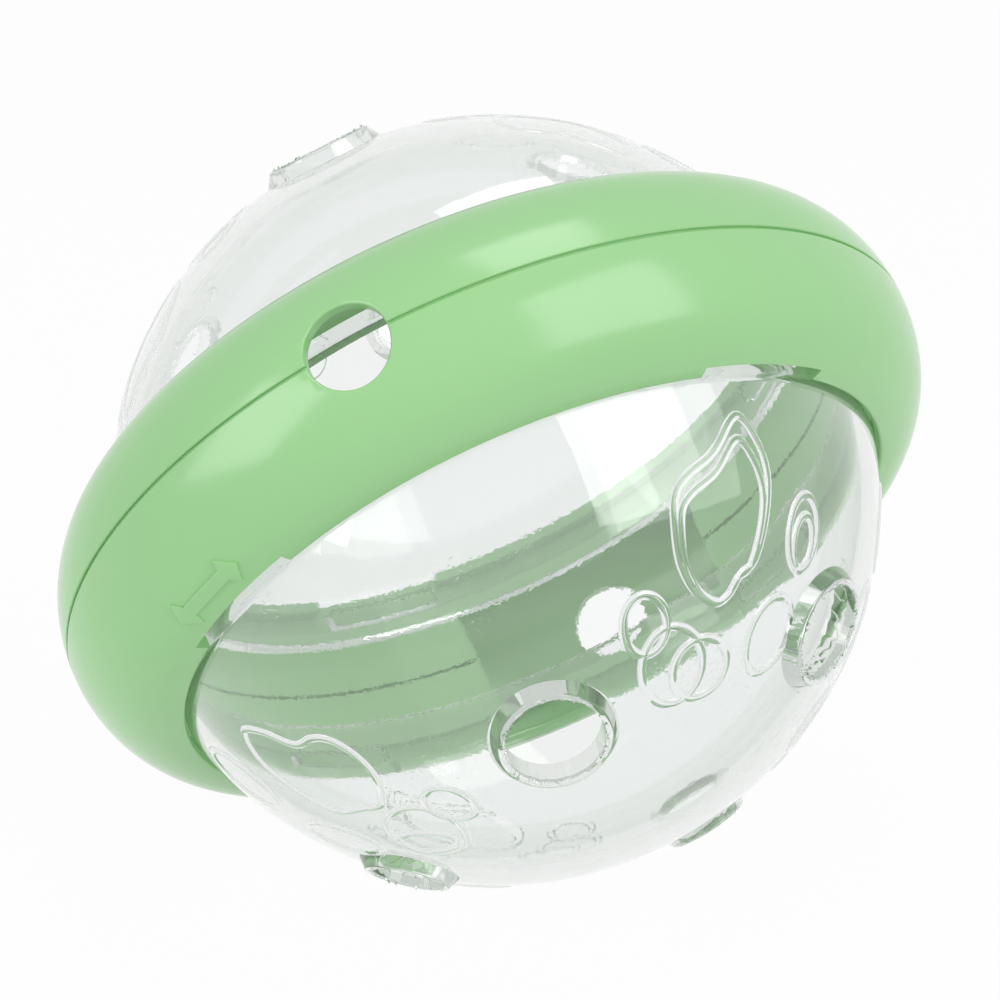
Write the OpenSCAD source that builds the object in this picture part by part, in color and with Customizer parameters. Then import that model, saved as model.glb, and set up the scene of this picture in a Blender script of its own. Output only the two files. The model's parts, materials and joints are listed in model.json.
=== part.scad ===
// Treat dispensing ball: two clear domes turn and lock in a hollow two-part ring.
// One dome moulding is used twice, and so is one ring half moulding.

/* [Ball] */
// Outer diameter of the clear ball
ball_d = 88; // [80:1:100]
// Wall of the domes
dome_wall = 2; // [1.6:0.1:2.6]
// Space left between the rims of the two domes, inside the ring
rim_gap = 11.4; // [8:0.2:13]

/* [Ports in the domes] */
// Bore of the two large crater ports of a dome
large_port_d = 11; // [8:0.5:12]
// Bore of the two small crater ports of a dome
small_port_d = 8.4; // [6:0.2:10]
// Width of a port's rim at its top
port_rim = 0.8; // [0.6:0.1:1.4]
// How much wider a port's rim is at its foot than at its top, on each side
port_flare = 0.8; // [0.2:0.1:1.2]
// Height of a port's rim above the ball
port_rise = 1; // [0.6:0.1:2]
// Rounding of a port's outer edge
port_round = 0.4; // [0.1:0.1:0.5]

/* [Ring] */
// How far the ring stands out past the ball
ring_reach = 8; // [7:0.5:14]
// Width of the ring along its axis
ring_w = 25.6; // [24:0.2:30]
// Wall of the ring halves
ring_wall = 1.5; // [1.2:0.1:1.8]
// Width of the groove that shows along the seam
seam_groove = 0.4; // [0.2:0.1:0.8]

/* [Treat holes] */
// Diameter of the two treat holes, which straddle the seam
hole_d = 9.5; // [6:0.5:12]
// Angle of the open window in the inner wall behind each treat hole
window_deg = 44; // [30:1:60]
// Thickness of the ribs at both ends of a window
rib_t = 1.5; // [1:0.1:2.5]

/* [Bayonet] */
// Angle that one dome tab covers
tab_deg = 20; // [12:1:28]
// Reach of a tab out of the dome's rim
tab_reach = 1.9; // [1.2:0.1:2.4]
// Thickness of a tab along the axis
tab_t = 2.2; // [1.6:0.1:2.6]
// Angle left free at each end of a tab in its notch
notch_slack = 1.5; // [1:0.5:4]
// Running clearance between dome and ring
run_gap = 0.3; // [0.2:0.05:0.5]
// Clearance between the dome's rim and the ledge under the tabs
ledge_gap = 1; // [0.5:0.1:1.4]

/* [Posts that join the ring halves] */
// Diameter of the locating pins
pin_d = 2; // [1.6:0.1:2.4]
// Length of the locating pins
pin_l = 3.5; // [2:0.5:5]
// Wall of the posts round their sockets
post_wall = 0.8; // [0.6:0.1:1]
// Clearance round a pin in its socket
pin_gap = 0.05; // [0.05:0.05:0.2]

/* [How the toy lies] */
// Turn of the whole toy about its axis, which sets where the treat holes point
spin = -128.5; // [-180:0.5:180]

/* [Hidden] */
$fn = 128;

// Steps along a quarter of the ring's oval section
oval_steps = 10;
// Angle between the points of a rounded edge
round_step = 15;
// Length that cutters run past the faces they cut
over = 1;

// Angle from a treat hole to the first lip notch, and from a dome's first port to its first tab
notch_turn = 34.5;
tab_lead = 30;
tab_count = 4;

// Each port: angle from the pole, angle about the axis from the first port, bore
PORTS = [
    [31, 0, large_port_d],
    [39, -85, large_port_d],
    [37, 85, small_port_d],
    [31, 184, small_port_d]
];

// Locating pins of a ring half, as angles from the first treat hole; sockets mirror them
PIN_TURNS = [40, 100, 220, 280];

ball_r = ball_d / 2;
dome_in_r = ball_r - dome_wall;
rim_z = rim_gap / 2;
half_w = ring_w / 2;
ring_r = ball_r + ring_reach;

// The dome turns from ball to straight rim half-way through the lip
lip_z = half_w - ring_wall;
rim_r = sqrt(ball_r * ball_r - pow(half_w - ring_wall / 2, 2));
rim_in_r = rim_r - dome_wall;
lip_r = rim_r + run_gap;

tab_r = rim_r + tab_reach;
tab_top = lip_z - run_gap;
tab_foot = tab_top - tab_t;
ledge_z = tab_foot - run_gap;
ledge_r = rim_r + ledge_gap;
// The ledge runs on above the windows, as thick as the wall
window_top = ledge_z - ring_wall;
notch_r = tab_r + run_gap / 2;
groove_r = tab_r + run_gap;
inner_wall_r = groove_r + ring_wall;
inner_mid_r = groove_r + ring_wall / 2;
notch_deg = tab_deg + 2 * notch_slack;

// Half axes of the ring's oval section, outside and inside its wall
oval_r = ring_r - lip_r;
oval_in_r = oval_r - ring_wall;

post_r = (inner_wall_r + ring_r - ring_wall) / 2;
post_d = pin_d + 2 * (pin_gap + post_wall);
socket_depth = pin_l + over / 2;

// The toy lies on a dome and on the ring's edge: both touch the floor at this lean
lean_k = lip_r * lip_r - oval_r * oval_r + half_w * half_w;
lean_root = sqrt(pow(ball_r * lip_r, 2) - lean_k * (ball_r * ball_r - half_w * half_w));
lean = asin((ball_r * lip_r - lean_root) / lean_k);

function oval(rx, rz, from, to) = [
    for (i = [0 : oval_steps])
        let (t = from + (to - from) * i / oval_steps)
        [lip_r + rx * cos(t), rz * sin(t)]
];

// Angles on the ovals where the seam groove ends, and where the inner wall meets the shell
seam_t = asin(seam_groove / ring_w);
back_t = acos((inner_wall_r - lip_r) / oval_in_r);
fill_t = acos((inner_mid_r - lip_r) / (oval_r - ring_wall / 2));

module lay_down() {
    translate([0, 0, ball_r])
        rotate([-lean, 0, 0])
            rotate([0, 0, spin])
                children();
}

module turn_over() {
    rotate([180, 0, 0]) children();
}

// A ring sector about the axis, centred on angle turn
module sector(turn, deg, r_in, r_out, z_low, z_high) {
    rotate([0, 0, turn - deg / 2])
        rotate_extrude(angle = deg)
            translate([r_in, z_low])
                square([r_out - r_in, z_high - z_low]);
}

module dome_outside() {
    intersection() {
        sphere(r = ball_r);
        translate([0, 0, rim_z]) cylinder(r = rim_r, h = ball_r);
    }
}

module dome_inside() {
    intersection() {
        sphere(r = dome_in_r);
        translate([0, 0, rim_z - over]) cylinder(r = rim_in_r, h = ball_r);
    }
}

module at_port(port) {
    rotate([0, port[0], port[1]]) children();
}

// Flared rim of a port, rooted half-way through the dome's wall
module port_rim_solid(bore_d) {
    bore_r = bore_d / 2;
    top_r = bore_r + port_rim;
    foot_r = top_r + port_flare;
    top_z = ball_r + port_rise;
    foot_z = sqrt(ball_r * ball_r - foot_r * foot_r);
    root_z = (foot_z + sqrt(dome_in_r * dome_in_r - bore_r * bore_r)) / 2;
    rotate_extrude()
        polygon([
            [0, root_z],
            [foot_r, root_z],
            [foot_r, foot_z],
            each [for (t = [0 : round_step : 90])
                [top_r - port_round * (1 - cos(t)), top_z - port_round * (1 - sin(t))]],
            [0, top_z]
        ]);
}

module dome() {
    rotate([0, 0, notch_turn - tab_lead])
        difference() {
            union() {
                difference() {
                    dome_outside();
                    dome_inside();
                }
                for (port = PORTS)
                    at_port(port) port_rim_solid(port[2]);
                for (i = [0 : tab_count - 1])
                    sector(tab_lead + 360 / tab_count * i, tab_deg,
                           rim_r - dome_wall / 2, tab_r, tab_foot, tab_top);
            }
            for (port = PORTS)
                at_port(port)
                    translate([0, 0, ball_r / 2]) cylinder(d = port[2], h = ball_r);
        }
}

// Section of a ring half: oval outer wall, lip, bayonet groove, ledge and inner wall
module half_section() {
    polygon(concat(
        [[ring_r - seam_groove, 0], [ring_r - seam_groove, seam_groove / 2]],
        oval(oval_r, half_w, seam_t, 90),
        [[lip_r, lip_z], [groove_r, lip_z], [groove_r, ledge_z], [ledge_r, ledge_z], [ledge_r, 0]],
        [[inner_wall_r, 0]],
        oval(oval_in_r, lip_z, back_t, 0)
    ));
}

// The hollow filled in as far as the middle of its walls, which trims what stands inside it
module filled_section() {
    polygon(concat(
        [[inner_mid_r, 0]],
        oval(oval_r - ring_wall / 2, half_w - ring_wall / 2, 0, fill_t)
    ));
}

module rib(turn) {
    rotate([0, 0, turn])
        translate([ledge_r, -rib_t / 2, 0])
            cube([ring_r - ledge_r, rib_t, half_w]);
}

module post(turn) {
    rotate([0, 0, turn])
        translate([post_r, 0, 0])
            cylinder(d = post_d, h = half_w);
}

module ring_half() {
    difference() {
        union() {
            difference() {
                rotate_extrude() half_section();
                for (i = [0 : tab_count - 1])
                    sector(notch_turn + 360 / tab_count * i, notch_deg,
                           lip_r - over, notch_r, lip_z - over / 2, half_w + over);
                for (turn = [0, 180])
                    sector(turn, window_deg, ledge_r - over, inner_wall_r + over / 4, -over, window_top);
            }
            intersection() {
                rotate_extrude() filled_section();
                union() {
                    for (turn = [0, 180], side = [-1, 1])
                        rib(turn + side * window_deg / 2);
                    for (turn = PIN_TURNS, side = [-1, 1])
                        post(side * turn);
                }
            }
            for (turn = PIN_TURNS)
                rotate([0, 0, turn])
                    translate([post_r, 0, -pin_l])
                        cylinder(d = pin_d, h = pin_l + over);
        }
        for (turn = PIN_TURNS)
            rotate([0, 0, -turn])
                translate([post_r, 0, -over])
                    cylinder(d = pin_d + 2 * pin_gap, h = socket_depth + over);
        for (turn = [0, 180])
            rotate([0, 90, turn])
                translate([0, 0, inner_wall_r])
                    cylinder(d = hole_d, h = ring_reach);
    }
}

module lower_dome() {
    color("lightcyan", 0.5) lay_down() turn_over() dome();
}

module upper_dome() {
    color("lightcyan", 0.5) lay_down() dome();
}

module lower_ring_half() {
    color("lightgreen") lay_down() turn_over() ring_half();
}

module upper_ring_half() {
    color("lightgreen") lay_down() ring_half();
}

lower_dome();
upper_dome();
lower_ring_half();
upper_ring_half();
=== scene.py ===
"""Treat dispensing ball: two clear domes that turn and lock in a hollow green ring."""

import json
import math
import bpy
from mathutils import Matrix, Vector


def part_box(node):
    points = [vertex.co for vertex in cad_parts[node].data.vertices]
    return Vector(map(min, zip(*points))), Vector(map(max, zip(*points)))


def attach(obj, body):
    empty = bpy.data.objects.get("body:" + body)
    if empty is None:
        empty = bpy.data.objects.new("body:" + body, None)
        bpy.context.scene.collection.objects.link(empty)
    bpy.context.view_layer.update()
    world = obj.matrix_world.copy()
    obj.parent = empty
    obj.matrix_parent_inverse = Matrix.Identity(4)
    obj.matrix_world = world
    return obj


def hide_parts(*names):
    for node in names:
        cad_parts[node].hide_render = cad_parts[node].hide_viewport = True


bl_info = {
    "name": "Treat Dispensing Ball",
    "version": (1, 0, 0),
    "blender": (4, 5, 0),
    "location": "3D View > Sidebar > Treat Ball",
    "description": "Models the domes, the ring halves and the studio of a treat dispensing ball",
    "category": "Add Mesh",
}

from types import SimpleNamespace

import bmesh
import bpy
from bpy.props import FloatProperty, FloatVectorProperty, IntProperty, PointerProperty
from mathutils import Matrix, Vector

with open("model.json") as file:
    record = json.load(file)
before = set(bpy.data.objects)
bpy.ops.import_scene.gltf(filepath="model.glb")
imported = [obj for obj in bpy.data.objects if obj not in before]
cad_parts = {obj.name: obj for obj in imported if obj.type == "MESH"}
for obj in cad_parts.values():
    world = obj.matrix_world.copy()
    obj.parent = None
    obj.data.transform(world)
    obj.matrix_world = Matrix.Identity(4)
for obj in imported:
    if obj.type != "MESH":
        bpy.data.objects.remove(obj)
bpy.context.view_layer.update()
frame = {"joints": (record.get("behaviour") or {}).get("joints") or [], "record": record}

JOINTS = {joint["name"]: joint for joint in frame["joints"]}
MOUNTS = {mount["name"]: mount for mount in frame["record"]["mounts"]}
RING_LOW, RING_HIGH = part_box("upper_ring_half")

# Both mouldings are drawn with the ring's axis on Z and the front treat hole on X, then laid down
# like the CAD
CENTRE = Vector(JOINTS["upper_dome_turn"]["pos_m"])
POLE = Vector(JOINTS["upper_dome_turn"]["axis"]).normalized()
FRONT = Vector(MOUNTS["front_treat_hole"]["axis"]).normalized()
LAID_AXES = Matrix((FRONT, POLE.cross(FRONT), POLE)).transposed()
LAID_DOWN = Matrix.Translation(CENTRE) @ LAID_AXES.to_4x4()
TURNED_OVER = Matrix.Rotation(math.pi, 4, "X")
# A ring half fits either way round, and the upper one has its arrow at the back
TURNED_ROUND = Matrix.Rotation(math.pi, 4, "Z")

PORTS = [MOUNTS[f"upper_port_{number}"] for number in range(1, 5)]
HOLE_RADIUS = MOUNTS["front_treat_hole"]["dims"]["r_mm"] / 1000
HOLE_TURNS = (0, math.pi)
TAB_COUNT = 4

# Points closer than this are one point
MERGE = 1e-6
# How far cutters run past the faces that they cut
OVER = 0.001
# Edges flatter than this are shaded smooth
SMOOTH_UNDER = math.radians(30)

# Flame-shaped outlines on a dome, as degrees from the pole and degrees about the axis
FLAMES = (
    (
        (67.9, -49.3), (64.3, -52.8), (59.3, -54.5), (53.3, -53.8), (47.5, -51.4),
        (45.9, -48.2), (43.2, -45.5), (42.3, -42.1), (44.8, -37.1), (49.5, -34.5),
        (55.2, -34.7), (58.8, -35.9), (60.8, -38.7), (63.2, -43.9),
    ),
    (
        (63.1, 56.6), (60.4, 52.7), (55.5, 49.7), (54.1, 45.5), (52.2, 43.1),
        (49.5, 42.2), (46.3, 42.8), (43.7, 44.8), (41.9, 47.8), (40.9, 52.9),
        (43.2, 57.7), (46.3, 62.6), (52.0, 62.9), (59.0, 61.1),
    ),
)

# Oval outlines: degrees from the pole, degrees about the axis, half length and half width in
# metres, tilt in degrees
OVALS = (
    (51.5, -64.2, 0.0041, 0.0025, 0),
    (50.2, -64.4, 0.0029, 0.0016, 0),
    (36.6, -59.7, 0.0044, 0.0032, -7),
    (41.6, -25.4, 0.0034, 0.0025, -4),
    (34.2, -30.9, 0.0047, 0.0036, 4),
    (32.8, -38.8, 0.0036, 0.0034, 9),
    (32.7, 42.1, 0.0030, 0.0024, -5),
    (33.2, 58.1, 0.0049, 0.0044, -61),
    (32.4, 63.0, 0.0035, 0.0021, 28),
    (45.1, 75.9, 0.0049, 0.0033, 19),
    (62.0, 73.3, 0.0051, 0.0037, 4),
)
OVAL_POINTS = 48
FLAME_STEPS = 6
# Size of the second outline inside the first flame, as a share of the first
FLAME_INSIDE = 0.87

# Length of the arrow's heads and place of its necks from the tips, as shares of its width
ARROW_HEAD = 0.43
ARROW_NECK = 0.59
# Depth of the arrow's middle under its border, and rounding of the border, as shares of its rise
ARROW_SINK = 0.6
ARROW_ROUND = 0.7
# Cuts that let the arrow bend onto the ring: along it, and across it as shares of its half width
ARROW_LENGTHS = 12
ARROW_CUTS = (-0.7, -0.35, 0, 0.35, 0.7)

# Faces that make up a rounded edge, the ring's outer and inner ovals, a rib's oval, a tab, a lip
# notch, a window and a treat hole
ROUND_STEPS = 4
OUTER_STEPS = 40
HOLLOW_STEPS = 24
RIB_STEPS = 16
TAB_STEPS = 16
NOTCH_STEPS = 46
WINDOW_STEPS = 44
HOLE_SIDES = 96
# Degrees round the edge of a treat hole at which its cutter has a row of points
FLARE_TURNS = (0, 18, 36, 54, 72)
# Edges steeper than this on a tab are rounded
TAB_SHARP = math.radians(40)
# How far a point on a port's mouth may lie off its bore, as a share of the bore
MOUTH_MARGIN = 1e-3

# Two sets of fine scratches: their turn in radians, and how fine they are along each axis
SCRATCHES = (
    ((0.3, 0.5, 0.2), (2600, 110, 2600)),
    ((1.2, 0.1, 0.9), (3200, 150, 3200)),
)

# Share of the floor that looks plain white; the rest shows the light and the shadow on it
FLOOR_WHITE = 0.96
# Softboxes: name, place, width and height, and brightness as a share of the panel's
SOFTBOXES = (
    ("softbox_front", (0.18, -0.59, 0.46), (0.48, 0.62), 1.0),
    ("softbox_left", (-0.77, -0.03, 0.32), (0.5, 0.48), 1.15),
    ("softbox_top", (0.08, 0.0, 0.87), (0.36, 0.36), 1.2),
)


def length(name, description, default):
    """Property for a length in metres."""
    return FloatProperty(name=name, description=description, default=default, unit="LENGTH")


def angle(name, description, degrees):
    """Property for an angle, which is kept in radians."""
    return FloatProperty(
        name=name, description=description, default=math.radians(degrees), subtype="ANGLE"
    )


def colour(name, description, default):
    """Property for a colour."""
    return FloatVectorProperty(
        name=name, description=description, default=default, subtype="COLOR", size=3
    )


class BallSizes(bpy.types.PropertyGroup):
    """Sizes of the clear domes."""

    radius: length("Ball radius", "Outside of the clear ball", CENTRE.z)
    wall: length("Wall", "Wall of the domes", 0.002)
    rim_gap: length("Rim gap", "Space between the rims of the two domes", 0.0114)
    rim_round: length("Rim rounding", "Rounding of a dome's rim", 0.0004)
    port_rim: length("Port rim", "Width of a port's rim at its top", 0.0008)
    port_flare: length("Port flare", "How much wider a port's rim is at its foot", 0.0008)
    port_rise: length("Port rise", "Height of a port's rim above the ball", 0.001)
    port_round: length("Port rounding", "Rounding of a port's edges", 0.0003)
    tab_angle: angle("Tab angle", "Angle that a bayonet tab covers", 20)
    tab_reach: length("Tab reach", "Reach of a tab out of the rim", 0.0019)
    tab_thickness: length("Tab thickness", "Thickness of a tab along the axis", 0.0022)
    tab_round: length("Tab rounding", "Rounding of a tab's edges", 0.0003)
    ridge_width: length("Ridge width", "Width of the moulded outlines", 0.0011)
    ridge_rise: length("Ridge rise", "Height of the moulded outlines above the ball", 0.00022)
    segments: IntProperty(name="Segments", description="Faces round a dome", default=192, min=48)


class RingSizes(bpy.types.PropertyGroup):
    """Sizes of the ring halves."""

    radius: length("Ring radius", "Outside of the ring", (RING_HIGH.x - RING_LOW.x) / 2)
    width: length("Width", "Width of both halves along the axis", 0.0256)
    wall: length("Wall", "Wall of the ring halves", 0.0015)
    seam: length("Seam groove", "Width and depth of the groove along the seam", 0.0004)
    edge_round: length("Lip rounding", "Rounding of the lip's edge", 0.0004)
    hole_round: length("Hole rounding", "Rounding of a treat hole's edge", 0.0004)
    window_angle: angle("Window angle", "Angle of the open window behind a treat hole", 44)
    rib: length("Rib thickness", "Thickness of the ribs beside a window", 0.0015)
    notch_turn: angle("Notch turn", "Angle from the front treat hole to the first lip notch", 34.5)
    notch_slack: angle("Notch slack", "Angle left free at each end of a tab in its notch", 1.5)
    run_gap: length("Running gap", "Clearance between dome and ring", 0.0003)
    ledge_gap: length("Ledge gap", "Clearance between a dome's rim and the ledge", 0.001)
    arrow_length: length("Arrow length", "Length of the raised double arrow", 0.0118)
    arrow_width: length("Arrow width", "Width of the arrow's heads", 0.0041)
    arrow_shaft: length("Arrow shaft", "Width of the arrow's shaft", 0.0017)
    arrow_rise: length("Arrow rise", "Height of the arrow above the ring", 0.0003)
    arrow_border: length("Arrow border", "Width of the raised border of the arrow", 0.00035)
    arrow_oval: angle("Arrow place", "Place of the arrow on the oval section, from the seam", 61)
    segments: IntProperty(name="Segments", description="Faces round the ring", default=360, min=72)


class Finishes(bpy.types.PropertyGroup):
    """Colours and surfaces."""

    clear_tint: colour("Clear plastic", "Tint of the clear domes", (0.948, 0.962, 0.959))
    clear_shade: colour(
        "Clear plastic's shade",
        "Tint that a face of the domes gives to light that shines through or is mirrored",
        (0.83, 0.85, 0.83),
    )
    clearness: FloatProperty(
        name="Clearness",
        description="Share of the light that the clear domes let through instead of scattering it",
        default=0.955,
        subtype="FACTOR",
        min=0,
        max=1,
    )
    green: colour("Green plastic", "Colour of the ring", (0.35, 0.66, 0.30))
    green_deep: colour(
        "Green variation", "Deeper tone that drifts through the ring's plastic", (0.31, 0.62, 0.265)
    )
    floor: colour("Floor", "Colour of the studio floor", (0.9, 0.9, 0.9))


class StageSettings(bpy.types.PropertyGroup):
    """Camera and studio light."""

    azimuth: angle("Azimuth", "Camera's turn about the toy, from the -Y side", -29.7)
    elevation: angle("Elevation", "Camera's height above the toy's middle", 20.6)
    distance: length("Distance", "Camera's distance from the middle of the ball", 0.462)
    lens: FloatProperty(name="Lens", description="Focal length in millimetres", default=144.9)
    shift_x: FloatProperty(
        name="Shift X", description="Sideways shift of the picture", default=0.005
    )
    shift_y: FloatProperty(name="Shift Y", description="Upward shift of the picture", default=0.001)
    fill: FloatProperty(
        name="Fill light", description="Strength of the light from all round", default=0.36, min=0
    )
    lamps: FloatProperty(
        name="Softboxes", description="Brightness of the softboxes", default=2.8, min=0
    )
    floor_size: length("Floor size", "Side of the studio floor", 6.0)


def worked_sizes():
    """Sizes that follow from the ones in the panel."""
    ball, ring = bpy.context.scene.treat_ball, bpy.context.scene.treat_ring
    half_width = ring.width / 2
    lip_z = half_width - ring.wall
    # The dome turns from ball to straight rim half-way through the lip
    turn_z = half_width - ring.wall / 2
    rim_r = math.sqrt(ball.radius**2 - turn_z**2)
    lip_r = rim_r + ring.run_gap
    tab_r = rim_r + ball.tab_reach
    tab_top = lip_z - ring.run_gap
    tab_foot = tab_top - ball.tab_thickness
    groove_r = tab_r + ring.run_gap
    ledge_z = tab_foot - ring.run_gap
    return SimpleNamespace(
        half_width=half_width,
        lip_z=lip_z,
        turn_z=turn_z,
        rim_z=ball.rim_gap / 2,
        rim_r=rim_r,
        lip_r=lip_r,
        tab_r=tab_r,
        tab_top=tab_top,
        tab_foot=tab_foot,
        notch_r=tab_r + ring.run_gap / 2,
        groove_r=groove_r,
        ledge_r=rim_r + ring.ledge_gap,
        ledge_z=ledge_z,
        window_top=ledge_z - ring.wall,
        inner_mid_r=groove_r + ring.wall / 2,
        inner_wall_r=groove_r + ring.wall,
        oval_r=ring.radius - lip_r,
    )


def clear_selection():
    """Leave edit mode with nothing selected."""
    if bpy.context.object and bpy.context.object.mode == "EDIT":
        bpy.ops.object.mode_set(mode="OBJECT")
    bpy.ops.object.select_all(action="DESELECT")


def pick(*pieces):
    """Select only these pieces, the first one active."""
    clear_selection()
    for piece in pieces:
        piece.select_set(True)
    bpy.context.view_layer.objects.active = pieces[0]


def edit(piece, mode="VERT"):
    """Go into edit mode on one piece, with all of it selected."""
    pick(piece)
    bpy.ops.object.mode_set(mode="EDIT")
    bpy.ops.mesh.select_mode(type=mode)
    bpy.ops.mesh.select_all(action="SELECT")


def finish_mesh(piece):
    """Close seams, point the faces outwards and leave edit mode."""
    edit(piece)
    bpy.ops.mesh.remove_doubles(threshold=MERGE)
    bpy.ops.mesh.normals_make_consistent(inside=False)
    if bmesh.from_edit_mesh(piece.data).calc_volume(signed=True) < 0:
        bpy.ops.mesh.flip_normals()
    bpy.ops.object.mode_set(mode="OBJECT")


def apply_modifier(piece, kind, **settings):
    """Add a modifier to a piece, set it up and apply it."""
    pick(piece)
    modifier = piece.modifiers.new(kind.title(), kind)
    for name, value in settings.items():
        setattr(modifier, name, value)
    bpy.ops.object.modifier_apply(modifier=modifier.name)


def combine(piece, tools, operation):
    """Add tools to a piece, or cut them out of it."""
    for tool in tools:
        apply_modifier(piece, "BOOLEAN", object=tool, operation=operation, solver="MANIFOLD")
        bpy.data.meshes.remove(tool.data)
    if not piece.data.polygons:
        raise RuntimeError(f"{operation.lower()} left nothing of {piece.name}")


def put(piece, matrix):
    """Move a piece by a matrix and keep its place in its mesh."""
    pick(piece)
    piece.matrix_world = matrix @ piece.matrix_world
    bpy.ops.object.transform_apply(location=True, rotation=True, scale=True)
    return piece


def copied(piece):
    """A copy of a piece with its own mesh."""
    pick(piece)
    bpy.ops.object.duplicate()
    return bpy.context.object


def around(piece, turns):
    """A piece and its copies turned about the axis, joined to one tool."""
    copies = [copied(piece) for _ in turns[1:]]
    for copy, turn in zip([piece] + copies, turns):
        put(copy, Matrix.Rotation(turn, 4, "Z"))
    pick(piece, *copies)
    bpy.ops.object.join()
    return bpy.context.object


def select_edges(piece, wanted):
    """Go into edit mode with only the edges selected whose both ends pass a test."""
    edit(piece, "EDGE")
    bpy.ops.mesh.select_all(action="DESELECT")
    mesh = bmesh.from_edit_mesh(piece.data)
    for edge in mesh.edges:
        if all(wanted(vertex.co) for vertex in edge.verts):
            edge.select_set(True)
    bmesh.update_edit_mesh(piece.data)


def draw_outline(points):
    """Draw an outline in the XZ plane by extruding one point along it, and stay in edit mode.

    It is closed, unless both its ends lie on the axis."""
    clear_selection()
    bpy.ops.mesh.primitive_plane_add(size=OVER)
    edit(bpy.context.object)
    bpy.ops.mesh.merge(type="CENTER")
    bpy.ops.transform.translate(value=(points[0][0], 0, points[0][1]))
    ends_on_axis = points[0][0] == 0 and points[-1][0] == 0
    for here, there in zip(points, points[1:] if ends_on_axis else points[1:] + points[:1]):
        step = (there[0] - here[0], 0, there[1] - here[1])
        bpy.ops.mesh.extrude_region_move(TRANSFORM_OT_translate={"value": step})
    bpy.ops.mesh.select_all(action="SELECT")
    bpy.ops.mesh.remove_doubles(threshold=MERGE)
    return bpy.context.object


def revolve(points, steps, angle=math.tau):
    """Spin an outline about the axis, centred on X when it isn't a full turn."""
    piece = draw_outline(points)
    if angle < math.tau:
        bpy.ops.mesh.edge_face_add()
    # Spin turns the other way round than a rotation matrix
    bpy.ops.mesh.spin(steps=steps, angle=-angle, center=(0, 0, 0), axis=(0, 0, 1))
    finish_mesh(piece)
    return put(piece, Matrix.Rotation(-angle / 2, 4, "Z"))


def rectangle(low_r, high_r, low_z, high_z):
    """Corners of a rectangle in the XZ plane."""
    return [(low_r, low_z), (high_r, low_z), (high_r, high_z), (low_r, high_z)]


def arc(middle, radius, start, end, steps):
    """Points of an arc in the XZ plane, by angles in degrees."""
    turns = [math.radians(start + (end - start) * step / steps) for step in range(steps + 1)]
    x, z = middle
    return [(x + radius * math.cos(turn), z + radius * math.sin(turn)) for turn in turns]


def oval(sizes, half_r, half_z, start, end, steps):
    """Points of the ring's oval section, by angles in radians from the seam."""
    turns = [start + (end - start) * step / steps for step in range(steps + 1)]
    return [(sizes.lip_r + half_r * math.cos(turn), half_z * math.sin(turn)) for turn in turns]


def on_ball(from_pole, about):
    """Direction of a point on the ball, by angles in radians."""
    return Vector(
        (
            math.sin(from_pole) * math.cos(about),
            math.sin(from_pole) * math.sin(about),
            math.cos(from_pole),
        )
    )


def bayonet_turns(ring):
    """Angles of the lip notches, and of the tabs that lie in line with them, about the axis."""
    return [ring.notch_turn + math.tau * index / TAB_COUNT for index in range(TAB_COUNT)]


def dome_shell(ball, sizes):
    """Dome with a straight rim, hollowed to its wall."""
    clear_selection()
    bpy.ops.mesh.primitive_uv_sphere_add(
        segments=ball.segments, ring_count=ball.segments // 2, radius=ball.radius
    )
    shell = bpy.context.object
    edit(shell)
    bpy.ops.mesh.bisect(plane_co=(0, 0, sizes.turn_z), plane_no=(0, 0, 1), clear_inner=True)
    select_edges(shell, lambda place: abs(place.z - sizes.turn_z) < MERGE)
    drop = (0, 0, sizes.rim_z - sizes.turn_z)
    bpy.ops.mesh.extrude_region_move(TRANSFORM_OT_translate={"value": drop})
    finish_mesh(shell)
    apply_modifier(
        shell,
        "SOLIDIFY",
        thickness=ball.wall,
        offset=-1,
        use_even_offset=True,
        use_quality_normals=True,
    )
    select_edges(shell, lambda place: abs(place.z - sizes.rim_z) < MERGE)
    bpy.ops.mesh.bevel(offset=ball.rim_round, segments=ROUND_STEPS, affect="EDGES")
    bpy.ops.object.mode_set(mode="OBJECT")
    return shell


def port_plug(ball, bore):
    """Flared and rounded rim of a port, still filled, rooted in the dome's wall, standing on Z."""
    top_r = bore + ball.port_rim
    foot_r = top_r + ball.port_flare
    top_z = ball.radius + ball.port_rise
    foot_z = math.sqrt(ball.radius**2 - foot_r**2)
    root_z = foot_z - ball.wall / 2
    corner = (top_r - ball.port_round, top_z - ball.port_round)
    outline = [(0, root_z), (foot_r, root_z), (foot_r, foot_z)]
    outline += arc(corner, ball.port_round, 0, 90, ROUND_STEPS)
    outline += [(0, top_z)]
    return revolve(outline, ball.segments // 2)


def bore_cutter(ball, bore):
    """Straight cutter for the bore of a port, standing on Z."""
    clear_selection()
    bpy.ops.mesh.primitive_cylinder_add(
        vertices=ball.segments // 2, radius=bore, depth=ball.radius, location=(0, 0, ball.radius)
    )
    bpy.ops.object.transform_apply(location=True)
    return bpy.context.object


def bayonet_tab(ball, sizes):
    """One rounded tab of a dome's rim, centred on X."""
    outline = rectangle(sizes.rim_r - ball.wall / 2, sizes.tab_r, sizes.tab_foot, sizes.tab_top)
    tab = revolve(outline, TAB_STEPS, ball.tab_angle)
    apply_modifier(
        tab, "BEVEL", width=ball.tab_round, segments=2, limit_method="ANGLE", angle_limit=TAB_SHARP
    )
    return tab


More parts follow.
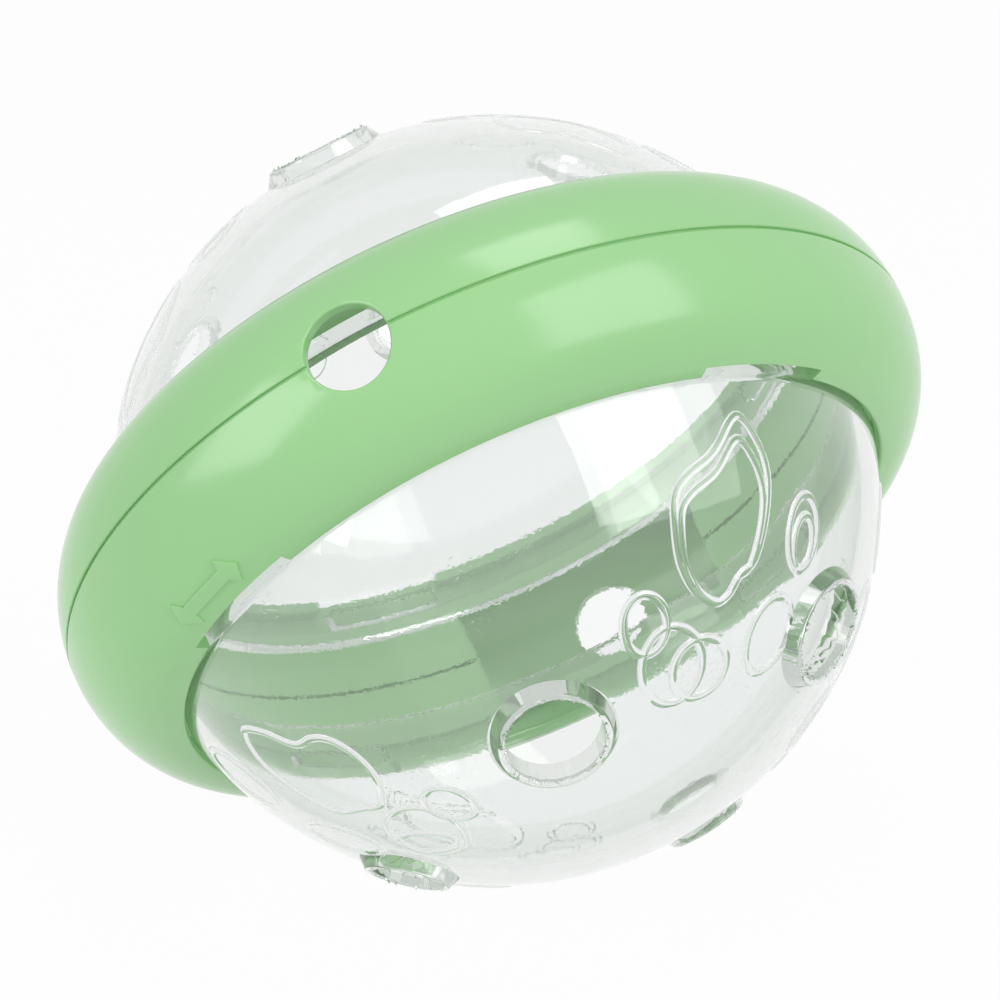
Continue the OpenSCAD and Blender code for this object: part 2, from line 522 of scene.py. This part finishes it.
def ridge(ball, directions):
    """Rounded ridge that follows a closed outline on the ball."""
    clear_selection()
    bpy.ops.mesh.primitive_circle_add(vertices=len(directions), radius=ball.radius)
    outline = bpy.context.object
    # The ridge is the top of a thicker round bar that is sunk into the wall
    bar = (ball.ridge_width**2 / 4 + ball.ridge_rise**2) / (2 * ball.ridge_rise)
    height = ball.radius + ball.ridge_rise - bar
    for vertex, direction in zip(outline.data.vertices, directions):
        vertex.co = direction.normalized() * height
    bpy.ops.object.convert(target="CURVE")
    curve = bpy.context.object.data
    curve.dimensions = "3D"
    curve.bevel_depth = bar
    curve.bevel_resolution = 7
    bpy.ops.object.convert(target="MESH")
    tube = bpy.context.object
    finish_mesh(tube)
    return tube


def flame_outline(corners):
    """Smooth closed outline through a flame's points, as directions from the ball's middle."""
    marks = [on_ball(math.radians(pole), math.radians(about)) for pole, about in corners]
    count = len(marks)
    outline = []
    for index in range(count):
        before, start, end, after = (marks[(index + offset) % count] for offset in (-1, 0, 1, 2))
        for step in range(FLAME_STEPS):
            t = step / FLAME_STEPS
            pull = (end - before) * t + (2 * before - 5 * start + 4 * end - after) * t**2
            pull += (3 * start - before - 3 * end + after) * t**3
            outline.append(start + pull / 2)
    return outline


def drawn_in(outline, share):
    """Smaller copy of an outline that meets it at its point nearest the pole."""
    meeting = max(outline, key=lambda direction: direction.z)
    return [meeting + (direction - meeting) * share for direction in outline]


def oval_outline(ball, pole, about, half_length, half_width, tilt):
    """Oval outline on the ball, as directions from its middle."""
    pole, about, tilt = math.radians(pole), math.radians(about), math.radians(tilt)
    middle = on_ball(pole, about)
    to_rim = on_ball(pole + math.pi / 2, about)
    sideways = middle.cross(to_rim)
    along = to_rim * math.cos(tilt) + sideways * math.sin(tilt)
    across = sideways * math.cos(tilt) - to_rim * math.sin(tilt)
    turns = [math.tau * step / OVAL_POINTS for step in range(OVAL_POINTS)]
    return [
        middle * ball.radius
        + along * half_length * math.cos(turn)
        + across * half_width * math.sin(turn)
        for turn in turns
    ]


def port_places():
    """Each port's standing matrix and axis in the dome moulding, and the radius of its bore."""
    to_mould = LAID_DOWN.inverted().to_3x3()
    for port in PORTS:
        axis = (to_mould @ Vector(port["axis"])).normalized()
        stand = Vector((0, 0, 1)).rotation_difference(axis).to_matrix().to_4x4()
        yield stand, axis, port["dims"]["r_mm"] / 1000


def dome_moulding(ball, ring, sizes):
    """One clear dome with its ports, bayonet tabs and moulded outlines."""
    dome = dome_shell(ball, sizes)
    outlines = [flame_outline(flame) for flame in FLAMES]
    outlines.append(drawn_in(outlines[0], FLAME_INSIDE))
    outlines += [oval_outline(ball, *values) for values in OVALS]
    ridges = [ridge(ball, outline) for outline in outlines]
    # The outlines come twice, half a turn apart
    ridges = [around(piece, (0, math.pi)) for piece in ridges]
    plugs = [put(port_plug(ball, bore), stand) for stand, _, bore in port_places()]
    tabs = around(bayonet_tab(ball, sizes), bayonet_turns(ring))
    # What stands on the dome is made one first, because some outlines run into each other
    combine(tabs, ridges + plugs, "UNION")
    combine(dome, [tabs], "UNION")
    bores = [put(bore_cutter(ball, bore), stand) for stand, _, bore in port_places()]
    combine(dome, bores, "DIFFERENCE")
    top = ball.radius + ball.port_rise
    for _, axis, bore in port_places():

        def on_mouth(place, axis=axis, bore=bore):
            height = place.dot(axis)
            off_bore = abs((place - axis * height).length - bore)
            return abs(height - top) < MERGE and off_bore < bore * MOUTH_MARGIN

        select_edges(dome, on_mouth)
        bpy.ops.mesh.bevel(offset=ball.port_round, segments=ROUND_STEPS, affect="EDGES")
        bpy.ops.object.mode_set(mode="OBJECT")
    return dome


def ring_section(ring, sizes):
    """Outline of a ring half: oval outer wall, lip, bayonet groove, ledge and inner wall."""
    round_off = ring.edge_round
    fine = ring.seam / 4
    seam_r = ring.radius - ring.seam
    inner_seam_r = sizes.ledge_r + 2 * ring.seam
    outer_start = math.asin((ring.seam / 2 + fine) / sizes.half_width)
    outer_end = math.acos(round_off / sizes.oval_r)
    hollow_r = sizes.oval_r - ring.wall
    hollow_start = math.acos((sizes.inner_wall_r - sizes.lip_r) / hollow_r)
    outline = [(seam_r, 0), (seam_r, ring.seam / 2), (ring.radius - fine, ring.seam / 2)]
    outline += oval(sizes, sizes.oval_r, sizes.half_width, outer_start, outer_end, OUTER_STEPS)
    corner = (sizes.lip_r + round_off, sizes.half_width - round_off)
    outline += arc(corner, round_off, 100, 180, ROUND_STEPS)
    outline += [(sizes.lip_r, sizes.lip_z + fine), (sizes.lip_r + fine, sizes.lip_z)]
    outline += [(sizes.groove_r, sizes.lip_z), (sizes.groove_r, sizes.ledge_z)]
    outline += [(sizes.ledge_r + fine, sizes.ledge_z), (sizes.ledge_r, sizes.ledge_z - fine)]
    outline += [(sizes.ledge_r, ring.seam / 2), (inner_seam_r, ring.seam / 2), (inner_seam_r, 0)]
    outline += [(sizes.inner_wall_r, 0)]
    outline += oval(sizes, hollow_r, sizes.lip_z, hollow_start, 0, HOLLOW_STEPS)
    return outline


def ring_surface(sizes, place):
    """Distance of the ring's outside from the YZ plane, over a point of that plane."""
    from_axis = sizes.lip_r + sizes.oval_r * math.sqrt(1 - (place.z / sizes.half_width) ** 2)
    return math.sqrt(from_axis**2 - place.y**2)


def hole_cutter(ring, sizes):
    """Cutter for a treat hole along X, flared where it leaves the ring to round the edge."""
    clear_selection()
    bpy.ops.mesh.primitive_circle_add(
        vertices=HOLE_SIDES,
        radius=HOLE_RADIUS,
        fill_type="NGON",
        location=(sizes.inner_wall_r + 2 * OVER, 0, 0),
        rotation=(0, math.pi / 2, 0),
    )
    bpy.ops.object.transform_apply(location=True, rotation=True)
    cutter = bpy.context.object
    # Rows of the flare: how far out from the hole's wall, and how deep under the ring's surface
    turns = [math.radians(turn) for turn in FLARE_TURNS]
    rows = [
        (ring.hole_round * (1 - math.cos(turn)), ring.hole_round * (math.sin(turn) - 1))
        for turn in turns
    ]
    outwards, depth = rows[-1]
    rows.append((outwards + OVER * math.sin(turns[-1]), depth + OVER * math.cos(turns[-1])))
    edit(cutter)
    for outwards, depth in rows:
        bpy.ops.mesh.extrude_region_move(TRANSFORM_OT_translate={"value": (OVER, 0, 0)})
        mesh = bmesh.from_edit_mesh(cutter.data)
        for vertex in (vertex for vertex in mesh.verts if vertex.select):
            side = Vector((0, vertex.co.y, vertex.co.z)).normalized()
            place = side * (HOLE_RADIUS + outwards)
            place.x = ring_surface(sizes, place) + depth
            vertex.co = place
        bmesh.update_edit_mesh(cutter.data)
    # The outer end is flat and clear of the ring
    bpy.ops.mesh.extrude_region_move(TRANSFORM_OT_translate={"value": (OVER, 0, 0)})
    bpy.ops.transform.resize(value=(0, 1, 1), center_override=(ring.radius + 2 * OVER, 0, 0))
    finish_mesh(cutter)
    return cutter


def window_rib(ring, sizes):
    """Rib across the hollow at the end of a window, centred on X."""
    half_r = sizes.oval_r - ring.wall / 2
    end = math.acos((sizes.inner_mid_r - sizes.lip_r) / half_r)
    outline = [(sizes.inner_mid_r, 0)]
    outline += oval(sizes, half_r, sizes.half_width - ring.wall / 2, 0, end, RIB_STEPS)
    rib = draw_outline(outline)
    bpy.ops.mesh.edge_face_add()
    bpy.ops.mesh.extrude_region_move(TRANSFORM_OT_translate={"value": (0, ring.rib, 0)})
    finish_mesh(rib)
    return put(rib, Matrix.Translation((0, -ring.rib / 2, 0)))


def double_arrow(ring, sizes):
    """Raised double arrow that shows how to turn a dome, bent onto the ring's outside."""
    tip, barb, shaft = ring.arrow_length / 2, ring.arrow_width / 2, ring.arrow_shaft / 2
    barb_x, neck_x = tip - ARROW_HEAD * ring.arrow_width, tip - ARROW_NECK * ring.arrow_width
    head = [(neck_x, -shaft), (barb_x, -barb), (tip, 0), (barb_x, barb), (neck_x, shaft)]
    arrow = draw_outline(head + [(-x, -z) for x, z in head])
    bpy.ops.mesh.edge_face_add()
    bpy.ops.mesh.extrude_region_move(TRANSFORM_OT_translate={"value": (0, 2 * ring.arrow_rise, 0)})
    finish_mesh(arrow)
    select_edges(arrow, lambda place: place.y > ring.arrow_rise)
    bpy.ops.mesh.select_mode(type="FACE")
    bpy.ops.mesh.inset(thickness=ring.arrow_border, depth=-ARROW_SINK * ring.arrow_rise)
    bpy.ops.object.mode_set(mode="OBJECT")
    select_edges(arrow, lambda place: place.y > 2 * ring.arrow_rise - MERGE)
    bpy.ops.mesh.bevel(offset=ARROW_ROUND * ring.arrow_rise, segments=3, affect="EDGES")
    for index in range(1, ARROW_LENGTHS):
        bpy.ops.mesh.select_all(action="SELECT")
        cut = ring.arrow_length * (index / ARROW_LENGTHS - 0.5)
        bpy.ops.mesh.bisect(plane_co=(cut, 0, 0), plane_no=(1, 0, 0))
    for share in ARROW_CUTS:
        bpy.ops.mesh.select_all(action="SELECT")
        bpy.ops.mesh.bisect(plane_co=(0, 0, share * barb), plane_no=(0, 0, 1))
    bpy.ops.object.mode_set(mode="OBJECT")
    sine, cosine = math.sin(ring.arrow_oval), math.cos(ring.arrow_oval)
    middle_r = sizes.lip_r + sizes.oval_r * cosine
    speed = math.hypot(sizes.oval_r * sine, sizes.half_width * cosine)
    for vertex in arrow.data.vertices:
        along, height, across = vertex.co
        turn = ring.arrow_oval + across / speed
        sine, cosine = math.sin(turn), math.cos(turn)
        outwards = Vector((sizes.half_width * cosine, 0, sizes.oval_r * sine)).normalized()
        on_section = Vector((sizes.lip_r + sizes.oval_r * cosine, 0, sizes.half_width * sine))
        on_section += outwards * (height - ring.arrow_rise)
        vertex.co = Matrix.Rotation(along / middle_r, 3, "Z") @ on_section
    finish_mesh(arrow)
    return arrow


def ring_moulding(ball, ring, sizes):
    """One green ring half with its notches, windows, treat holes, ribs and arrow."""
    half = revolve(ring_section(ring, sizes), ring.segments)
    # Half a face further, so that no edge of the ring lies in a cutter's end face
    put(half, Matrix.Rotation(math.pi / ring.segments, 4, "Z"))
    notch_angle = ball.tab_angle + 2 * ring.notch_slack
    notch_outline = rectangle(
        sizes.lip_r - OVER, sizes.notch_r, sizes.lip_z - OVER / 2, sizes.half_width + OVER
    )
    window_outline = rectangle(
        sizes.ledge_r - OVER, sizes.inner_wall_r + OVER / 4, -OVER, sizes.window_top
    )
    cutters = [
        around(revolve(notch_outline, NOTCH_STEPS, notch_angle), bayonet_turns(ring)),
        around(revolve(window_outline, WINDOW_STEPS, ring.window_angle), HOLE_TURNS),
        around(hole_cutter(ring, sizes), HOLE_TURNS),
    ]
    combine(half, cutters, "DIFFERENCE")
    rib_turns = [turn + side * ring.window_angle / 2 for turn in HOLE_TURNS for side in (-1, 1)]
    arrow = put(double_arrow(ring, sizes), Matrix.Rotation(ring.notch_turn, 4, "Z"))
    combine(half, [around(window_rib(ring, sizes), rib_turns), arrow], "UNION")
    return half


def settle(piece, name, matrix, body, node, material):
    """Lay a finished moulding where its CAD node is and hang it on its body."""
    put(piece, matrix)
    piece.name = name
    piece.data.name = name
    bpy.ops.object.shade_smooth_by_angle(angle=SMOOTH_UNDER)
    # Flat faces stay flat beside their rounded edges
    apply_modifier(piece, "WEIGHTED_NORMAL", keep_sharp=True)
    piece.data.materials.clear()
    piece.data.materials.append(material)
    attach(piece, body)
    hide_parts(node)


def new_group(name, inputs, outputs):
    """Empty shader node group with named sockets."""
    group = bpy.data.node_groups.new(name, "ShaderNodeTree")
    for socket, kind, value in inputs:
        made = group.interface.new_socket(socket, in_out="INPUT", socket_type=kind)
        made.default_value = value
    for socket, kind in outputs:
        group.interface.new_socket(socket, in_out="OUTPUT", socket_type=kind)
    return group


def node(tree, kind, values=None, **settings):
    """Add a node, with its settings and the values of its input sockets."""
    made = tree.nodes.new(kind)
    for name, value in settings.items():
        setattr(made, name, value)
    for socket, value in (values or {}).items():
        made.inputs[socket].default_value = value
    return made


def handling_marks():
    """Group of fine scratches and rub marks that handling leaves on glossy plastic."""
    existing = bpy.data.node_groups.get("Handling Marks")
    if existing:
        return existing
    group = new_group(
        "Handling Marks",
        [("Amount", "NodeSocketFloat", 0.5)],
        [("Scratches", "NodeSocketFloat"), ("Haze", "NodeSocketFloat")],
    )
    link = group.links.new
    given = node(group, "NodeGroupInput")
    result = node(group, "NodeGroupOutput")
    place = node(group, "ShaderNodeTexCoord")
    patches = node(group, "ShaderNodeTexNoise", {"Scale": 45.0, "Detail": 2.0})
    patch_mask = node(
        group,
        "ShaderNodeMapRange",
        {"From Min": 0.5, "From Max": 0.68},
        interpolation_type="SMOOTHSTEP",
    )
    link(place.outputs["Object"], patches.inputs["Vector"])
    link(patches.outputs["Fac"], patch_mask.inputs["Value"])
    streaks = []
    for turn, stretch in SCRATCHES:
        mapping = node(group, "ShaderNodeMapping", {"Rotation": turn, "Scale": stretch})
        noise = node(group, "ShaderNodeTexNoise", {"Scale": 1.0, "Detail": 1.0})
        line = node(group, "ShaderNodeMapRange", {"From Min": 0.7, "From Max": 0.76})
        link(place.outputs["Object"], mapping.inputs["Vector"])
        link(mapping.outputs["Vector"], noise.inputs["Vector"])
        link(noise.outputs["Fac"], line.inputs["Value"])
        streaks.append(line)
    both = node(group, "ShaderNodeMath", operation="MAXIMUM")
    link(streaks[0].outputs["Result"], both.inputs[0])
    link(streaks[1].outputs["Result"], both.inputs[1])
    in_patches = node(group, "ShaderNodeMath", operation="MULTIPLY")
    link(both.outputs["Value"], in_patches.inputs[0])
    link(patch_mask.outputs["Result"], in_patches.inputs[1])
    scratches = node(group, "ShaderNodeMath", operation="MULTIPLY")
    link(in_patches.outputs["Value"], scratches.inputs[0])
    link(given.outputs["Amount"], scratches.inputs[1])
    link(scratches.outputs["Value"], result.inputs["Scratches"])
    haze = node(group, "ShaderNodeTexNoise", {"Scale": 90.0, "Detail": 3.0})
    soft = node(group, "ShaderNodeMapRange", {"From Min": 0.45, "From Max": 0.75})
    hazed = node(group, "ShaderNodeMath", operation="MULTIPLY")
    link(place.outputs["Object"], haze.inputs["Vector"])
    link(haze.outputs["Fac"], soft.inputs["Value"])
    link(soft.outputs["Result"], hazed.inputs[0])
    link(given.outputs["Amount"], hazed.inputs[1])
    link(hazed.outputs["Value"], result.inputs["Haze"])
    return group


def new_material(name):
    """Material with an empty node tree."""
    material = bpy.data.materials.new(name)
    material.use_nodes = True
    material.node_tree.nodes.clear()
    return material


def clear_plastic(finish):
    """Glossy clear plastic with faint handling scratches. Lamps shine through it."""
    material = new_material("Clear Plastic")
    tree = material.node_tree
    link = tree.links.new
    marks = node(tree, "ShaderNodeGroup", node_tree=handling_marks())
    marks.inputs["Amount"].default_value = 0.6
    rough = node(tree, "ShaderNodeMapRange", {"To Min": 0.015, "To Max": 0.3})
    place = node(tree, "ShaderNodeTexCoord")
    waves = node(tree, "ShaderNodeTexNoise", {"Scale": 2500.0, "Detail": 1.0})
    # The waves lie only on the round wall, which faces the ball's middle or away from it
    outwards = node(tree, "ShaderNodeVectorMath", {1: CENTRE}, operation="SUBTRACT")
    direction = node(tree, "ShaderNodeVectorMath", operation="NORMALIZE")
    facing = node(tree, "ShaderNodeVectorMath", operation="DOT_PRODUCT")
    either_side = node(tree, "ShaderNodeMath", operation="ABSOLUTE")
    on_wall = node(tree, "ShaderNodeMapRange", {"From Min": 0.97, "From Max": 0.995})
    wall_waves = node(tree, "ShaderNodeMath", operation="MULTIPLY")
    waves_bump = node(tree, "ShaderNodeBump", {"Strength": 0.5, "Distance": 3.5e-6})
    bump = node(tree, "ShaderNodeBump", {"Strength": 0.25, "Distance": 0.00005}, invert=True)
    plastic = node(
        tree,
        "ShaderNodeBsdfPrincipled",
        {
            "Base Color": (*finish.clear_tint, 1),
            "IOR": 1.58,
            "Transmission Weight": finish.clearness,
        },
    )
    shine_through = node(tree, "ShaderNodeBsdfTransparent", {"Color": (*finish.clear_shade, 1)})
    # Mirrored light leaves the plastic unbent, because light trapped in the port rims would look
    # black. Light that a matt surface has scattered passes undimmed.
    pass_on = node(tree, "ShaderNodeBsdfTransparent")
    path = node(tree, "ShaderNodeLightPath")
    leave = node(tree, "ShaderNodeMixShader")
    bounced = node(tree, "ShaderNodeMixShader")
    mix = node(tree, "ShaderNodeMixShader")
    output = node(tree, "ShaderNodeOutputMaterial")
    link(path.outputs["Is Diffuse Ray"], leave.inputs["Fac"])
    link(shine_through.outputs["BSDF"], leave.inputs[1])
    link(pass_on.outputs["BSDF"], leave.inputs[2])
    link(path.outputs["Is Reflection Ray"], bounced.inputs["Fac"])
    link(plastic.outputs["BSDF"], bounced.inputs[1])
    link(leave.outputs["Shader"], bounced.inputs[2])
    link(marks.outputs["Scratches"], rough.inputs["Value"])
    link(rough.outputs["Result"], plastic.inputs["Roughness"])
    link(place.outputs["Object"], waves.inputs["Vector"])
    link(place.outputs["Object"], outwards.inputs[0])
    link(outwards.outputs["Vector"], direction.inputs[0])
    link(direction.outputs["Vector"], facing.inputs[0])
    link(place.outputs["Normal"], facing.inputs[1])
    link(facing.outputs["Value"], either_side.inputs[0])
    link(either_side.outputs["Value"], on_wall.inputs["Value"])
    link(waves.outputs["Fac"], wall_waves.inputs[0])
    link(on_wall.outputs["Result"], wall_waves.inputs[1])
    link(wall_waves.outputs["Value"], waves_bump.inputs["Height"])
    link(waves_bump.outputs["Normal"], bump.inputs["Normal"])
    link(marks.outputs["Scratches"], bump.inputs["Height"])
    link(bump.outputs["Normal"], plastic.inputs["Normal"])
    link(path.outputs["Is Shadow Ray"], mix.inputs["Fac"])
    link(bounced.outputs["Shader"], mix.inputs[1])
    link(shine_through.outputs["BSDF"], mix.inputs[2])
    link(mix.outputs["Shader"], output.inputs["Surface"])
    return material


def green_plastic(finish):
    """Glossy moulded green plastic with a drift of tone, a fine moulded skin and faint rubs."""
    material = new_material("Green Plastic")
    tree = material.node_tree
    link = tree.links.new
    place = node(tree, "ShaderNodeTexCoord")
    drift = node(tree, "ShaderNodeTexNoise", {"Scale": 22.0, "Detail": 3.0})
    tone = node(tree, "ShaderNodeMix", data_type="RGBA")
    tone.inputs["A"].default_value = (*finish.green, 1)
    tone.inputs["B"].default_value = (*finish.green_deep, 1)
    marks = node(tree, "ShaderNodeGroup", node_tree=handling_marks())
    marks.inputs["Amount"].default_value = 0.5
    rough = node(tree, "ShaderNodeMapRange", {"To Min": 0.17, "To Max": 0.27})
    skin = node(tree, "ShaderNodeTexNoise", {"Scale": 420.0, "Detail": 2.0})
    skin_bump = node(tree, "ShaderNodeBump", {"Strength": 0.12, "Distance": 0.0001})
    scratch_bump = node(tree, "ShaderNodeBump", {"Strength": 0.2, "Distance": 0.00004}, invert=True)
    plastic = node(tree, "ShaderNodeBsdfPrincipled", {"IOR": 1.5})
    output = node(tree, "ShaderNodeOutputMaterial")
    link(place.outputs["Object"], drift.inputs["Vector"])
    link(drift.outputs["Fac"], tone.inputs["Factor"])
    link(tone.outputs["Result"], plastic.inputs["Base Color"])
    link(marks.outputs["Haze"], rough.inputs["Value"])
    link(rough.outputs["Result"], plastic.inputs["Roughness"])
    link(place.outputs["Object"], skin.inputs["Vector"])
    link(skin.outputs["Fac"], skin_bump.inputs["Height"])
    link(skin_bump.outputs["Normal"], scratch_bump.inputs["Normal"])
    link(marks.outputs["Scratches"], scratch_bump.inputs["Height"])
    link(scratch_bump.outputs["Normal"], plastic.inputs["Normal"])
    link(plastic.outputs["BSDF"], output.inputs["Surface"])
    return material


def seen_directly(tree):
    """Value that is 1 for what the camera, gloss and clear plastic see, and 0 for light."""
    path = node(tree, "ShaderNodeLightPath")
    first = node(tree, "ShaderNodeMath", operation="MAXIMUM")
    second = node(tree, "ShaderNodeMath", operation="MAXIMUM")
    tree.links.new(path.outputs["Is Camera Ray"], first.inputs[0])
    tree.links.new(path.outputs["Is Glossy Ray"], first.inputs[1])
    tree.links.new(first.outputs["Value"], second.inputs[0])
    tree.links.new(path.outputs["Is Transmission Ray"], second.inputs[1])
    return second.outputs["Value"]


def studio_floor(finish):
    """Pale floor that looks white and keeps a soft shadow."""
    material = new_material("Studio Floor")
    tree = material.node_tree
    link = tree.links.new
    lit = node(tree, "ShaderNodeBsdfDiffuse", {"Color": (*finish.floor, 1)})
    white = node(tree, "ShaderNodeEmission", {"Color": (1, 1, 1, 1), "Strength": 1.0})
    share = node(tree, "ShaderNodeMath", {1: FLOOR_WHITE}, operation="MULTIPLY")
    mix = node(tree, "ShaderNodeMixShader")
    output = node(tree, "ShaderNodeOutputMaterial")
    link(seen_directly(tree), share.inputs[0])
    link(share.outputs["Value"], mix.inputs["Fac"])
    link(lit.outputs["BSDF"], mix.inputs[1])
    link(white.outputs["Emission"], mix.inputs[2])
    link(mix.outputs["Shader"], output.inputs["Surface"])
    return material


def studio_world(stage):
    """White surroundings, with a plain level of light from all round."""
    world = bpy.data.worlds.new("Studio")
    bpy.context.scene.world = world
    world.use_nodes = True
    tree = world.node_tree
    tree.nodes.clear()
    strength = node(tree, "ShaderNodeMapRange", {"To Min": stage.fill, "To Max": 1.0})
    background = node(tree, "ShaderNodeBackground", {"Color": (1, 1, 1, 1)})
    output = node(tree, "ShaderNodeOutputWorld")
    tree.links.new(seen_directly(tree), strength.inputs["Value"])
    tree.links.new(strength.outputs["Result"], background.inputs["Strength"])
    tree.links.new(background.outputs["Background"], output.inputs["Surface"])


def softbox(name, place, size, brightness):
    """Rectangular lamp that faces the toy. Its power follows from its size and brightness."""
    clear_selection()
    aim = (CENTRE - Vector(place)).to_track_quat("-Z", "Y").to_euler()
    bpy.ops.object.light_add(type="AREA", location=place, rotation=aim)
    lamp = bpy.context.object
    lamp.name = name
    lamp.data.shape = "RECTANGLE"
    lamp.data.size, lamp.data.size_y = size
    lamp.data.energy = brightness * math.pi * size[0] * size[1]


class TREATBALL_OT_domes(bpy.types.Operator):
    """Model the clear dome moulding and place it twice"""

    bl_idname = "treat_ball.domes"
    bl_label = "Model Domes"

    def execute(self, context):
        scene = context.scene
        upper = dome_moulding(scene.treat_ball, scene.treat_ring, worked_sizes())
        lower = copied(upper)
        plastic = clear_plastic(scene.treat_finish)
        over = LAID_DOWN @ TURNED_OVER
        settle(upper, "upper_dome_clear", LAID_DOWN, "upper_dome", "upper_dome", plastic)
        settle(lower, "lower_dome_clear", over, "lower_dome", "lower_dome", plastic)
        return {"FINISHED"}


class TREATBALL_OT_ring(bpy.types.Operator):
    """Model the ring half moulding and place it twice"""

    bl_idname = "treat_ball.ring"
    bl_label = "Model Ring Halves"

    def execute(self, context):
        scene = context.scene
        upper = ring_moulding(scene.treat_ball, scene.treat_ring, worked_sizes())
        lower = copied(upper)
        plastic = green_plastic(scene.treat_finish)
        over, about = LAID_DOWN @ TURNED_OVER, LAID_DOWN @ TURNED_ROUND
        settle(upper, "upper_ring_green", about, "ring", "upper_ring_half", plastic)
        settle(lower, "lower_ring_green", over, "ring", "lower_ring_half", plastic)
        return {"FINISHED"}


class TREATBALL_OT_stage(bpy.types.Operator):
    """Set up the floor, the softboxes, the white surroundings and the camera"""

    bl_idname = "treat_ball.stage"
    bl_label = "Set Up Studio"

    def execute(self, context):
        scene = context.scene
        stage = scene.treat_stage
        clear_selection()
        bpy.ops.mesh.primitive_plane_add(size=stage.floor_size)
        floor = context.object
        floor.name = "studio_floor"
        floor.data.materials.append(studio_floor(scene.treat_finish))
        studio_world(stage)
        for name, place, size, share in SOFTBOXES:
            softbox(name, place, size, share * stage.lamps)
        towards = Vector(
            (
                math.sin(stage.azimuth) * math.cos(stage.elevation),
                -math.cos(stage.azimuth) * math.cos(stage.elevation),
                math.sin(stage.elevation),
            )
        )
        clear_selection()
        aim = (-towards).to_track_quat("-Z", "Y").to_euler()
        bpy.ops.object.camera_add(location=CENTRE + towards * stage.distance, rotation=aim)
        camera = context.object
        camera.name = "studio_camera"
        camera.data.lens = stage.lens
        camera.data.sensor_width = 36
        camera.data.shift_x = stage.shift_x
        camera.data.shift_y = stage.shift_y
        camera.data.clip_start = 0.01
        scene.camera = camera
        scene.view_settings.view_transform = "Standard"
        return {"FINISHED"}


class TREATBALL_PT_panel(bpy.types.Panel):
    """Sizes, finishes and steps of the treat ball"""

    bl_idname = "TREATBALL_PT_panel"
    bl_label = "Treat Ball"
    bl_space_type = "VIEW_3D"
    bl_region_type = "UI"
    bl_category = "Treat Ball"

    def draw(self, context):
        for title, group in (
            ("Domes", context.scene.treat_ball),
            ("Ring", context.scene.treat_ring),
            ("Finishes", context.scene.treat_finish),
            ("Studio", context.scene.treat_stage),
        ):
            box = self.layout.box()
            box.label(text=title)
            for name in group.__annotations__:
                box.prop(group, name)
        for step in STEPS:
            self.layout.operator(step.bl_idname)


GROUPS = {
    "treat_ball": BallSizes,
    "treat_ring": RingSizes,
    "treat_finish": Finishes,
    "treat_stage": StageSettings,
}
STEPS = (TREATBALL_OT_stage, TREATBALL_OT_domes, TREATBALL_OT_ring)


def register():
    """Register the sizes, the steps and the panel."""
    for name, group in GROUPS.items():
        bpy.utils.register_class(group)
        setattr(bpy.types.Scene, name, PointerProperty(type=group))
    for step in STEPS:
        bpy.utils.register_class(step)
    bpy.utils.register_class(TREATBALL_PT_panel)


def unregister():
    """Take the panel, the steps and the sizes away again."""
    bpy.utils.unregister_class(TREATBALL_PT_panel)
    for step in reversed(STEPS):
        bpy.utils.unregister_class(step)
    for name, group in GROUPS.items():
        delattr(bpy.types.Scene, name)
        bpy.utils.unregister_class(group)


def main():
    register()
    bpy.ops.treat_ball.stage()
    bpy.ops.treat_ball.domes()
    bpy.ops.treat_ball.ring()


if __name__ == "__main__":
    main()
